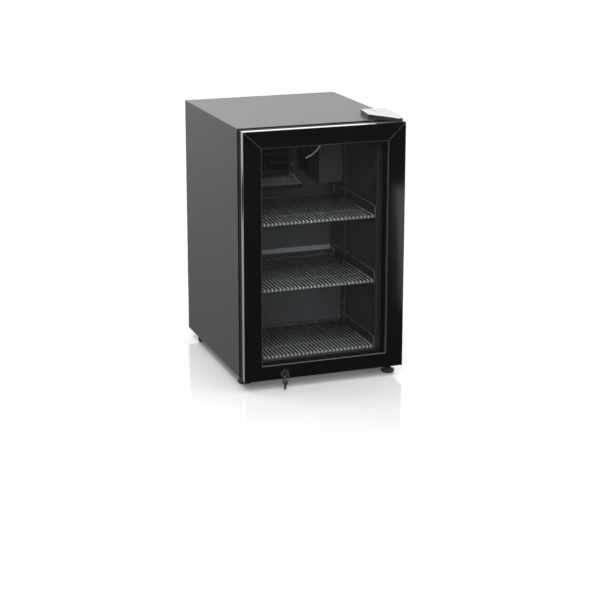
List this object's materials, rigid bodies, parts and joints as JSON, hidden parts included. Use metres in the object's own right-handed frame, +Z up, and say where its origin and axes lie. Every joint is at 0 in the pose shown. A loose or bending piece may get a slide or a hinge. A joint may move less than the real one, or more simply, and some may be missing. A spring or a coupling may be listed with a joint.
{
  "type": "glass door merchandiser",
  "caption": "Counter-top refrigerated display cabinet with a framed glass door, wire shelves, forced-air evaporator, rear compressor and condenser, lock with keys and levelling feet.",
  "frame": {"origin": "centre of the bounding box on the plane that the feet stand on", "axes": "+Z up, the door faces -Y, +X is to the right of someone who faces the door"},
  "size_m": [0.43, 0.5303, 0.682],
  "materials": {
    "graphite_paint": "satin graphite powder coat",
    "graphite_plastic": "satin moulded plastic",
    "zinc_steel": "zinc plated sheet",
    "foam": "rigid foam",
    "liner_metal": "stucco satin sheet",
    "black_plastic": "fine grain moulded plastic",
    "steel": "plated",
    "shelf_coating": "plastic coated wire",
    "copper": "drawn copper tube",
    "fin_aluminium": "mill finish foil",
    "tray_plastic": "moulded plastic",
    "fan_plastic": "moulded plastic",
    "white_plastic": "moulded plastic",
    "lens_plastic": "frosted lens",
    "black_enamel": "black enamel",
    "rubber": "matt rubber",
    "black_gloss": "gloss black coated profile",
    "anodised_aluminium": "brushed anodised",
    "glass": "clear insulating glass",
    "gasket_rubber": "soft magnetic gasket",
    "chrome": "polished plating",
    "key_steel": "nickel plated"
  },
  "bodies": {
    "cabinet": {"outer_shell": "graphite_paint", "base_pan": "zinc_steel", "rear_panel": "zinc_steel", "insulation": "foam", "inner_liner": "liner_metal", "front_frame": "black_plastic", "front_pilasters": "liner_metal", "rear_pilasters": "liner_metal", "pilaster_screws": "steel", "shelf_clips": "steel", "evaporator_tube": "copper", "evaporator_fins": "fin_aluminium", "evaporator_end_plates": "zinc_steel", "drip_tray": "tray_plastic", "fan_frame": "black_plastic", "duct_cover": "liner_metal", "sensor_lead": "white_plastic", "light_housing": "white_plastic", "light_lens": "lens_plastic", "compressor": "black_enamel", "compressor_plate": "black_enamel", "compressor_grommets": "rubber", "terminal_cover": "black_plastic", "condenser_tube": "black_enamel", "condenser_wires": "black_enamel", "condenser_brackets": "zinc_steel", "filter_drier": "copper", "discharge_pipe": "copper", "rear_grille": "black_enamel", "cord_gland": "rubber", "foot_insert": "steel", "rear_feet": "rubber", "top_hinge_bracket": "steel", "bottom_hinge_bracket": "steel", "cabinet_screws": "steel", "hinge_cover": "graphite_plastic", "lock_keeper": "steel"},
    "door": {"top_rail": "black_gloss", "bottom_rail": "black_gloss", "left_stile": "black_gloss", "right_stile": "black_gloss", "edge_trim": "anodised_aluminium", "inner_door_frame": "black_plastic", "glass_unit": "glass", "door_gasket": "gasket_rubber", "grip_cup": "black_plastic", "hinge_bushes": "white_plastic", "lock_body": "chrome"},
    "lock": {"lock_plug": "chrome", "door_key": "key_steel"},
    "hanging_keys": {"key_ring": "key_steel", "spare_key": "key_steel"},
    "fan": {"fan_blades": "fan_plastic"},
    "top_shelf": {"shelf_top": "shelf_coating"},
    "middle_shelf": {"shelf_middle": "shelf_coating"},
    "bottom_shelf": {"shelf_bottom": "shelf_coating"},
    "left_foot": {"foot_left": "black_plastic"},
    "right_foot": {"foot_right": "black_plastic"},
    "knob": {"thermostat_knob": "black_plastic"},
    "rocker": {"light_switch": "black_plastic"}
  },
  "joints": [
    {"name": "door_hinge", "type": "hinge", "parent": "cabinet", "child": "door", "pos_m": [0.203, -0.22075, 0.668], "axis": [0, 0, 1], "range_deg": [0, 110]},
    {"name": "lock_turn", "type": "hinge", "parent": "door", "child": "lock", "pos_m": [-0.108, -0.24325, 0.041], "axis": [0, 1, 0], "range_deg": [0, 90]},
    {"name": "key_ring_swing", "type": "hinge", "parent": "lock", "child": "hanging_keys", "pos_m": [-0.108, -0.25825, 0.041], "axis": [-1, 0, 0], "range_deg": [0, 60]},
    {"name": "fan_spin", "type": "hinge", "parent": "cabinet", "child": "fan", "pos_m": [0.088, 0.13525, 0.525], "axis": [1, 0, 0], "continuous": true},
    {"name": "top_shelf_lift", "type": "slide", "parent": "cabinet", "child": "top_shelf", "axis": [0, 0, 1], "range_m": [0, 0.01]},
    {"name": "middle_shelf_lift", "type": "slide", "parent": "cabinet", "child": "middle_shelf", "axis": [0, 0, 1], "range_m": [0, 0.01]},
    {"name": "bottom_shelf_lift", "type": "slide", "parent": "cabinet", "child": "bottom_shelf", "axis": [0, 0, 1], "range_m": [0, 0.01]},
    {"name": "left_foot_screw", "type": "slide", "parent": "cabinet", "child": "left_foot", "axis": [0, 0, -1], "range_m": [0, 0.008]},
    {"name": "right_foot_screw", "type": "slide", "parent": "cabinet", "child": "right_foot", "axis": [0, 0, -1], "range_m": [0, 0.008]},
    {"name": "thermostat_turn", "type": "hinge", "parent": "cabinet", "child": "knob", "pos_m": [-0.165, 0.26525, 0.165], "axis": [0, 1, 0], "range_deg": [-150, 150]},
    {"name": "light_rocker", "type": "hinge", "parent": "cabinet", "child": "rocker", "pos_m": [-0.14, 0.26125, 0.112], "axis": [1, 0, 0], "range_deg": [0, 8]}
  ]
}
